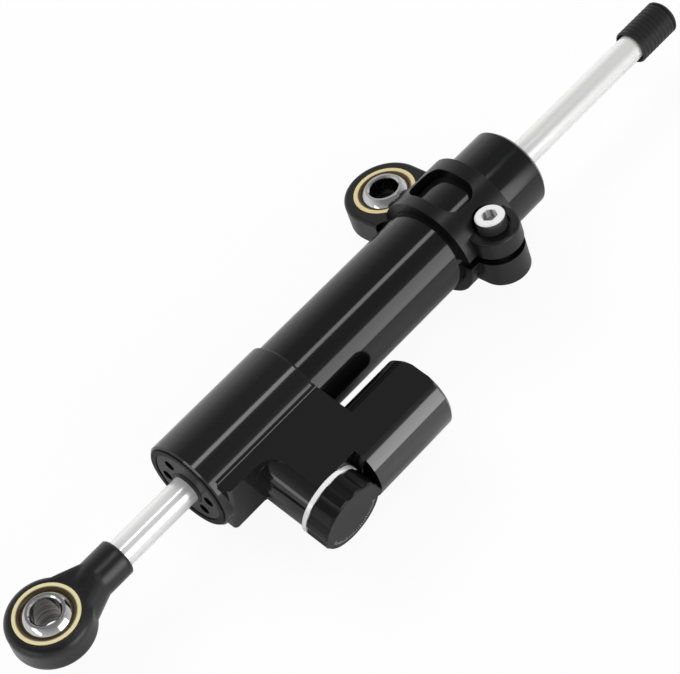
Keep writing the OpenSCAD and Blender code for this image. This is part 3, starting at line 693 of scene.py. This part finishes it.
@dataclass
class Dressing:
    """Gives the CAD nodes of one sub-assembly their finishes."""

    finishes: FinishLibrary
    sharp_deg: float = 32.0

    def dress(self, looks: Dict[str, Finish]) -> None:
        """Sets the material and smooth shading of CAD nodes.

        Args:
            looks: Finish of each node.
        """
        for node, finish in looks.items():
            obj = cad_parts[node]
            obj.data.materials.clear()
            obj.data.materials.append(self.finishes.get(finish))
            obj.data.shade_smooth()
            obj.data.set_sharp_from_angle(angle=math.radians(self.sharp_deg))
            LOG.info("dressed %s as %s", node, finish.name)


@dataclass
class RodAssembly(Dressing):
    """Rod, piston, rod end and rubber stop."""

    def build(self) -> None:
        """Dresses the rod's nodes."""
        self.dress(
            {
                "piston_rod": CHROMED,
                "rod_end_housing": BLACK_STEEL,
                "rod_end_race": ROD_END_RACE,
                "rod_end_ball": ROD_END_BALL,
                "rod_stop": RUBBER,
                "piston": ALUMINIUM,
                "piston_near_clip": SPRING_STEEL,
                "piston_far_clip": SPRING_STEEL,
                "piston_band": PTFE,
                "piston_o_ring": SEAL,
            }
        )


@dataclass
class CylinderAssembly(Dressing):
    """Valve body, tubes, glands and reservoir."""

    spring_fixed_x: float = 0.1035

    def build(self) -> None:
        """Dresses the cylinder's nodes and puts a copy of the reservoir's spring in its place."""
        looks = {
            "valve_body": ANODISED_BODY,
            "outer_tube": ANODISED,
            "inner_tube": ALUMINIUM,
            "tube_o_ring": SEAL,
            "reservoir_cap": ANODISED,
            "reservoir_cap_o_ring": SEAL,
            "reservoir_clip": SPRING_STEEL,
            "floating_piston": ALUMINIUM,
            "floating_piston_o_ring": SEAL,
            "compensator_spring": SPRING_STEEL,
        }
        for end in ("near", "far"):
            looks[f"{end}_gland"] = ANODISED_GLAND
            looks[f"{end}_wiper"] = SEAL
            looks[f"{end}_rod_seal"] = SEAL
            looks[f"{end}_bush"] = BRONZE
            looks[f"{end}_gland_o_ring"] = SEAL
        self.dress(looks)
        self._springy("compensator_spring")

    def _springy(self, node: str) -> bpy.types.Object:
        """Replaces the reservoir's spring by a copy whose placement is baked into its mesh.

        Args:
            node: CAD node of the spring, already dressed.

        Returns:
            The copy.
        """
        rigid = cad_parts[node]
        coil = bpy.data.objects.new("compensator_coil", rigid.data.copy())
        bpy.context.scene.collection.objects.link(coil)
        coil.matrix_world = rigid.matrix_world.copy()
        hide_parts(node)
        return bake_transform(coil)


@dataclass
class AdjusterAssembly(Dressing):
    """Knob, its cartridge and its click stop, with a plain scale on the knob's face."""

    face_mm: float = 38.0
    tick_count: int = 29
    tick_from_deg: float = -155.0
    tick_to_deg: float = -15.0
    tick_inner_mm: float = 7.7
    tick_outer_mm: float = 8.4
    long_tick_inner_mm: float = 7.3
    tick_half_mm: float = 0.13
    tick_thick_mm: float = 0.03
    long_every: int = 4

    def build(self) -> None:
        """Dresses the adjuster's nodes and adds the scale."""
        self.dress(
            {
                "adjuster_knob": KNOB,
                "adjuster_collar": COLLAR,
                "collar_o_ring": SEAL,
                "knob_grub_screw": SPRING_STEEL,
                "adjuster_spindle": BALL_STEEL,
                "spindle_o_ring": SEAL,
                "spindle_clip": SPRING_STEEL,
                "needle": BALL_STEEL,
                "detent_ball": BALL_STEEL,
                "detent_spring": SPRING_STEEL,
            }
        )
        ticks = self._ticks(Mesher(self.finishes))
        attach(ticks, "knob")

    def _point(self, radius: float, turn: float, out: float) -> Point:
        """Returns a point on the knob's face.

        Args:
            radius: Distance from the knob's axis in millimetres.
            turn: Angle about the axis in radians.
            out: Distance from the tube's axis in millimetres.

        Returns:
            The point in metres.
        """
        return (
            KNOB_AT[0] + radius * math.cos(turn) * MM,
            -out * MM,
            radius * math.sin(turn) * MM,
        )

    def _ticks(self, mesher: Mesher) -> bpy.types.Object:
        """Returns an arc of plain tick marks."""
        points: List[Point] = []
        faces: List[List[int]] = []
        step = (self.tick_to_deg - self.tick_from_deg) / (self.tick_count - 1)
        for k in range(self.tick_count):
            turn = math.radians(self.tick_from_deg + k * step)
            inner = self.long_tick_inner_mm if k % self.long_every == 0 else self.tick_inner_mm
            outer = self.tick_outer_mm
            start = len(points)
            for out in (self.face_mm, self.face_mm + self.tick_thick_mm):
                for radius, side in ((inner, -1), (outer, -1), (outer, 1), (inner, 1)):
                    lean = side * self.tick_half_mm / radius
                    points.append(self._point(radius, turn + lean, out))
            faces.extend([start + corner for corner in face] for face in BOX_FACES)
        return mesher.piece("knob_ticks", points, faces, TICK_PAINT)


@dataclass
class ClampAssembly(Dressing):
    """Split clamp with its bearing and screw."""

    def build(self) -> None:
        """Dresses the clamp's nodes."""
        self.dress(
            {
                "clamp": ANODISED_CLAMP,
                "clamp_race": CLAMP_RACE,
                "clamp_ball": CLAMP_BALL,
                "pinch_bolt": PLATED,
            }
        )


@dataclass(frozen=True)
class Softbox:
    """A rectangular lamp.

    Attributes:
        name: Name of the lamp.
        centre: Middle of the lamp in metres.
        aim: Point that it faces.
        length: Size along its length.
        width: Size across.
        radiance: Brightness of its face.
        along: Direction nearest to which its length lies.
        mirrored: Whether polished surfaces show the lamp itself.
    """

    name: str
    centre: Point
    aim: Point
    length: float
    width: float
    radiance: float
    along: Point = ALONG_X
    mirrored: bool = True

    def build(self) -> bpy.types.Object:
        """Returns the lamp, turned to its aim."""
        light = bpy.data.lights.new(self.name, "AREA")
        light.shape = "RECTANGLE"
        light.size = self.length
        light.size_y = self.width
        light.energy = LAMP_WATTS * self.radiance * self.length * self.width
        obj = bpy.data.objects.new(self.name, light)
        bpy.context.scene.collection.objects.link(obj)
        back = (Vector(self.centre) - Vector(self.aim)).normalized()
        across = back.cross(Vector(self.along)).normalized()
        along = across.cross(back).normalized()
        turn = Matrix((along, across, back)).transposed()
        obj.matrix_world = Matrix.Translation(self.centre) @ turn.to_4x4()
        obj.visible_glossy = self.mirrored
        return obj


@dataclass
class Studio:
    """Floor, surroundings and lamps."""

    floor_z: float = -0.0154
    floor_half: float = 6.0
    floor_colour: float = 0.9
    floor_glow: float = 0.93
    ceiling: float = 0.25
    ceiling_rise: float = 0.75
    ambient: float = 0.36
    boxes: Tuple[Softbox, ...] = (
        Softbox("strip_overhead", (0.2425, -0.019, 0.6), (0.1125, 0.0, 0.0), 0.395, 0.09, 3.2),
        Softbox("box_side", (0.22, -0.592, 0.241), (0.14, 0.008, 0.021), 0.54, 0.41, 2.1),
        Softbox("box_front", (-0.8, 0.07, 0.3), (0.05, 0.0, 0.0), 0.6, 0.15, 1.6, (0.0, 1.0, 0.0)),
        Softbox("fill_far", (0.13, 0.8, 0.8), (0.13, 0.15, 0.0), 1.0, 0.5, 3.6, mirrored=False),
    )

    def build(self) -> None:
        """Builds the floor, the world and the lamps."""
        self._floor()
        self._world()
        for box in self.boxes:
            box.build()

    def _floor(self) -> None:
        """Makes the pale floor, which shows near white and keeps the object's shadow."""
        h, z = self.floor_half, self.floor_z
        mesh = bpy.data.meshes.new("floor")
        mesh.from_pydata([(-h, -h, z), (h, -h, z), (h, h, z), (-h, h, z)], [], [(0, 1, 2, 3)])
        obj = bpy.data.objects.new("floor", mesh)
        bpy.context.scene.collection.objects.link(obj)
        material = bpy.data.materials.new("floor_pale")
        material.use_nodes = True
        tree = material.node_tree
        tree.nodes.clear()
        out = tree.nodes.new("ShaderNodeOutputMaterial")
        matte = tree.nodes.new("ShaderNodeBsdfDiffuse")
        matte.inputs["Color"].default_value = (self.floor_colour,) * 3 + (1.0,)
        glow = tree.nodes.new("ShaderNodeEmission")
        glow.inputs["Strength"].default_value = 1.0
        share = tree.nodes.new("ShaderNodeMath")
        share.operation = "MULTIPLY"
        share.inputs[1].default_value = self.floor_glow
        path = tree.nodes.new("ShaderNodeLightPath")
        tree.links.new(path.outputs["Is Camera Ray"], share.inputs[0])
        mix = tree.nodes.new("ShaderNodeMixShader")
        tree.links.new(share.outputs[0], mix.inputs["Fac"])
        tree.links.new(matte.outputs[0], mix.inputs[1])
        tree.links.new(glow.outputs[0], mix.inputs[2])
        tree.links.new(mix.outputs[0], out.inputs["Surface"])
        mesh.materials.append(material)

    def _world(self) -> None:
        """Makes white surroundings with a greyer ceiling, which polished pieces mirror."""
        world = bpy.data.worlds.new("studio")
        bpy.context.scene.world = world
        world.use_nodes = True
        tree = world.node_tree
        tree.nodes.clear()
        out = tree.nodes.new("ShaderNodeOutputWorld")
        path = tree.nodes.new("ShaderNodeLightPath")
        coords = tree.nodes.new("ShaderNodeTexCoord")
        split = tree.nodes.new("ShaderNodeSeparateXYZ")
        tree.links.new(coords.outputs["Generated"], split.inputs[0])
        fade = tree.nodes.new("ShaderNodeMapRange")
        fade.inputs["From Min"].default_value = 0.0
        fade.inputs["From Max"].default_value = self.ceiling_rise
        fade.inputs["To Min"].default_value = 1.0
        fade.inputs["To Max"].default_value = self.ceiling
        tree.links.new(split.outputs["Z"], fade.inputs["Value"])
        mirrored = tree.nodes.new("ShaderNodeBackground")
        tree.links.new(fade.outputs["Result"], mirrored.inputs["Strength"])
        seen = tree.nodes.new("ShaderNodeBackground")
        seen.inputs["Strength"].default_value = 1.0
        ambient = tree.nodes.new("ShaderNodeBackground")
        ambient.inputs["Strength"].default_value = self.ambient
        for node in (mirrored, seen, ambient):
            node.inputs["Color"].default_value = (1.0, 1.0, 1.0, 1.0)
        first = tree.nodes.new("ShaderNodeMixShader")
        tree.links.new(path.outputs["Is Glossy Ray"], first.inputs["Fac"])
        tree.links.new(ambient.outputs[0], first.inputs[1])
        tree.links.new(mirrored.outputs[0], first.inputs[2])
        second = tree.nodes.new("ShaderNodeMixShader")
        tree.links.new(path.outputs["Is Camera Ray"], second.inputs["Fac"])
        tree.links.new(first.outputs[0], second.inputs[1])
        tree.links.new(seen.outputs[0], second.inputs[2])
        tree.links.new(second.outputs[0], out.inputs["Surface"])


@dataclass
class PhotoCamera:
    """Camera of the photograph, fitted to its edges."""

    azimuth: float = -43.683
    elevation: float = 57.825
    roll: float = -5.842
    focal_px: float = 2322.9
    distance: float = 0.620165
    shift_right: float = 0.014592
    shift_up: float = 0.014677
    target: Point = (0.13, 0.0, 0.0)
    width_px: int = 680
    sensor: float = 36.0
    clip_near: float = 0.01
    clip_far: float = 50.0

    def build(self) -> bpy.types.Object:
        """Returns the scene's camera."""
        a, e, r = (math.radians(v) for v in (self.azimuth, self.elevation, self.roll))
        back = Vector((math.sin(a) * math.cos(e), -math.cos(a) * math.cos(e), math.sin(e)))
        flat = Vector((math.cos(a), math.sin(a), 0.0))
        tall = back.cross(flat)
        right = math.cos(r) * flat + math.sin(r) * tall
        up = math.cos(r) * tall - math.sin(r) * flat
        data = bpy.data.cameras.new("photo_camera")
        data.sensor_width = self.sensor
        data.lens = self.focal_px / self.width_px * self.sensor
        data.clip_start, data.clip_end = self.clip_near, self.clip_far
        obj = bpy.data.objects.new("photo_camera", data)
        bpy.context.scene.collection.objects.link(obj)
        shift = self.shift_right * right + self.shift_up * up
        place = Vector(self.target) - shift + self.distance * back
        turn = Matrix((right, up, back)).transposed().to_4x4()
        obj.matrix_world = Matrix.Translation(place) @ turn
        bpy.context.scene.camera = obj
        return obj


def main() -> None:
    """Builds the camera, the studio and every sub-assembly in order."""
    logging.basicConfig(level=logging.INFO)
    bpy.context.scene.view_settings.view_transform = "Standard"
    finishes = FinishLibrary(EffectGroups())
    PhotoCamera().build()
    Studio().build()
    for assembly in (RodAssembly, CylinderAssembly, AdjusterAssembly, ClampAssembly):
        assembly(finishes).build()
        LOG.info("built %s", assembly.__name__)


if __name__ == "__main__":
    main()
